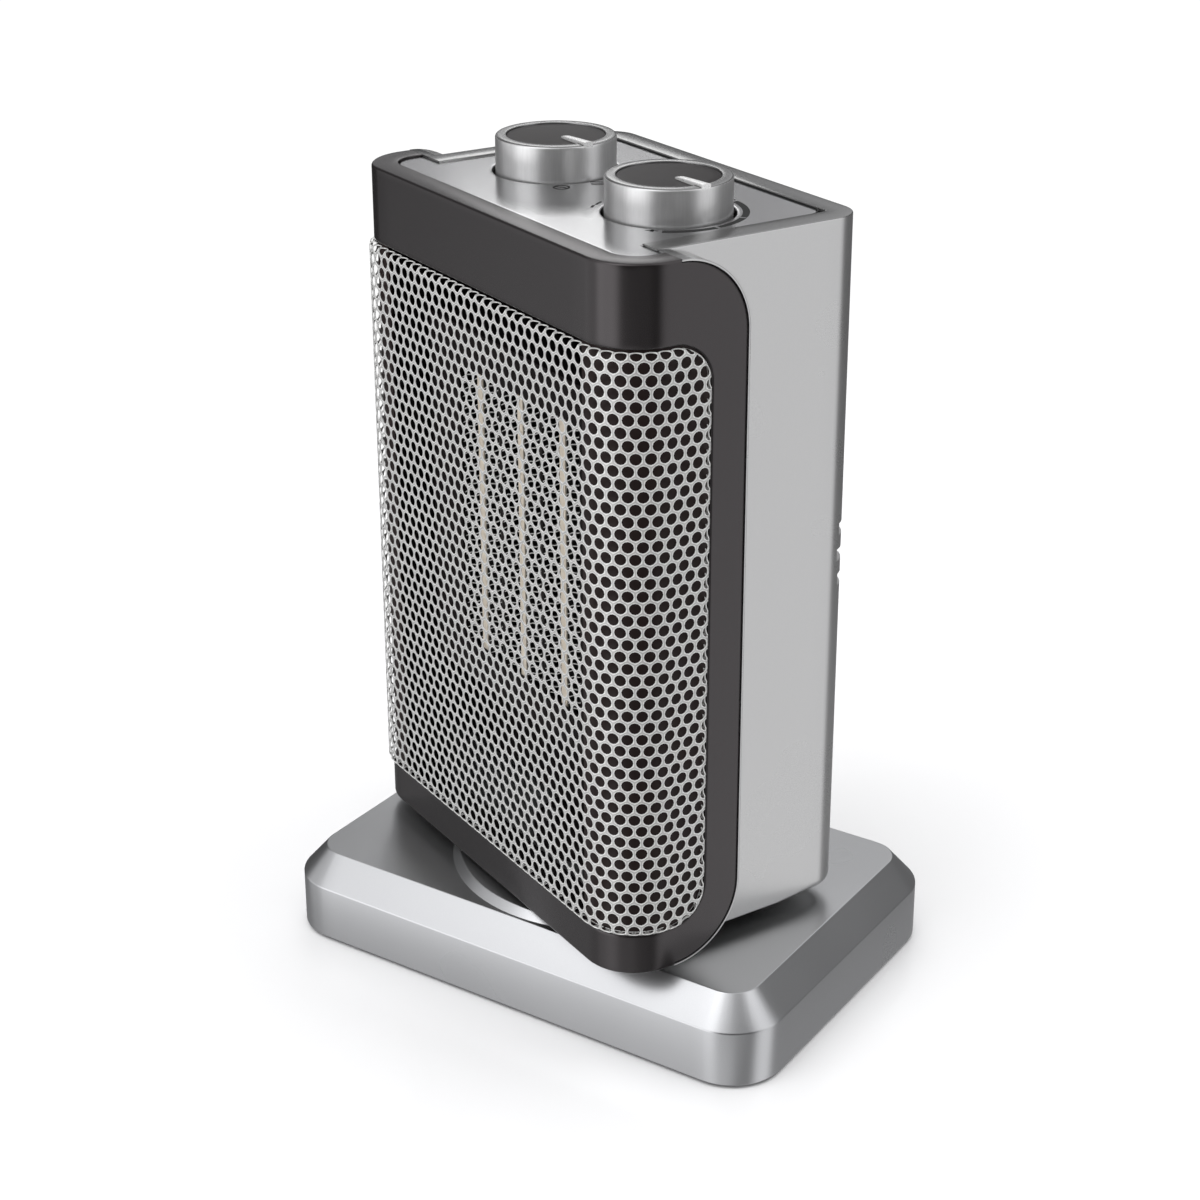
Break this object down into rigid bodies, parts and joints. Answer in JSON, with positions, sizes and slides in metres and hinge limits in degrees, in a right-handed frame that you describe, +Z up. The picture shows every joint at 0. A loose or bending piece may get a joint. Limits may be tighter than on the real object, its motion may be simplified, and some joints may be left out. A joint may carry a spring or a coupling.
{
  "type": "ceramic space heater",
  "caption": "Upright ceramic space heater on a swinging turntable base, with a fine round-hole grille, rear air slots and dials for mode and heat on top.",
  "frame": {"origin": "middle of the base on the floor, where the tower's swing axis meets the plane the feet stand on", "axes": "+X along the base's long side, +Y to the base's back where the cord enters, +Z up"},
  "size_m": [0.177, 0.1316, 0.2592],
  "materials": {
    "dark_plastic": "satin",
    "silver_paint": "satin metallic paint",
    "grille_metal": "satin silver",
    "base_silver": "satin metallic paint",
    "plate_silver": "satin metallic paint",
    "disc_dark": "gloss",
    "knob_silver": "satin metallic paint",
    "chrome_trim": "polished",
    "inner_plastic": "matte",
    "ceramic": "matte",
    "fin_metal": "satin",
    "zinc_steel": "brushed",
    "rubber_black": "matte",
    "switch_white": "satin",
    "screen_mesh": "matte"
  },
  "bodies": {
    "base": {"base_housing": "base_silver", "base_plate": "inner_plastic", "rubber_foot_1": "rubber_black", "rubber_foot_2": "rubber_black", "rubber_foot_3": "rubber_black", "rubber_foot_4": "rubber_black", "base_screws": "zinc_steel", "cord_gland": "rubber_black", "glide_ring": "switch_white", "gear_motor": "zinc_steel", "motor_screws": "zinc_steel", "tip_switch": "inner_plastic"},
    "plunger": {"tip_plunger": "switch_white"},
    "crank": {"crank_disc": "switch_white", "crank_pin": "zinc_steel"},
    "tower": {"pivot_collar": "inner_plastic", "collar_screws": "zinc_steel", "retaining_washer": "zinc_steel", "swing_arm": "zinc_steel", "arm_screws": "zinc_steel", "front_frame": "dark_plastic", "grille": "grille_metal", "rear_housing": "silver_paint", "intake_screen": "screen_mesh", "frame_screws": "zinc_steel", "core_frame": "inner_plastic", "ceramic_strip_1": "ceramic", "ceramic_strip_2": "ceramic", "ceramic_strip_3": "ceramic", "fin_pack_1": "fin_metal", "fin_pack_2": "fin_metal", "fin_pack_3": "fin_metal", "fin_pack_4": "fin_metal", "fin_pack_5": "fin_metal", "fin_pack_6": "fin_metal", "fan_shroud": "inner_plastic", "fan_motor": "zinc_steel", "thermal_cutout": "zinc_steel", "terminal_block": "switch_white", "control_plate": "plate_silver", "control_bracket": "zinc_steel", "mode_switch": "inner_plastic", "thermostat": "inner_plastic"},
    "fan": {"fan_impeller": "inner_plastic", "fan_shaft": "zinc_steel", "impeller_clip": "zinc_steel"},
    "mode_dial": {"mode_knob": "knob_silver", "mode_disc": "disc_dark", "mode_pointer": "chrome_trim", "mode_shaft": "zinc_steel"},
    "heat_dial": {"heat_knob": "knob_silver", "heat_disc": "disc_dark", "heat_pointer": "chrome_trim", "heat_shaft": "zinc_steel"}
  },
  "joints": [
    {"name": "tower_swing", "type": "hinge", "parent": "base", "child": "tower", "pos_m": [0, 0, 0.03], "axis": [0, 0, 1], "range_deg": [-11.4, 58.6]},
    {"name": "crank_turn", "type": "hinge", "parent": "base", "child": "crank", "pos_m": [0, 0.02, 0.021], "axis": [0, 0, 1], "range_deg": [-33.1, 170]},
    {"name": "tip_plunger_slide", "type": "slide", "parent": "base", "child": "plunger", "axis": [0, 0, 1], "range_m": [-0.0025, 0], "stiffness_N_per_m": 40, "springref_m": -0.0025},
    {"name": "mode_knob_turn", "type": "hinge", "parent": "tower", "child": "mode_dial", "pos_m": [-0.02709, 0.01293, 0.2517], "axis": [0, 0, 1], "range_deg": [-30, 60]},
    {"name": "heat_knob_turn", "type": "hinge", "parent": "tower", "child": "heat_dial", "pos_m": [0.02789, -0.01109, 0.2517], "axis": [0, 0, 1], "range_deg": [-46, 210]},
    {"name": "fan_spin", "type": "hinge", "parent": "tower", "child": "fan", "pos_m": [0, 0, 0.1445], "axis": [0.4003, 0.9164, 0], "continuous": true}
  ],
  "couplings": [
    {"joint": "crank_turn", "follows": "tower_swing", "ratio": 2.9}
  ]
}
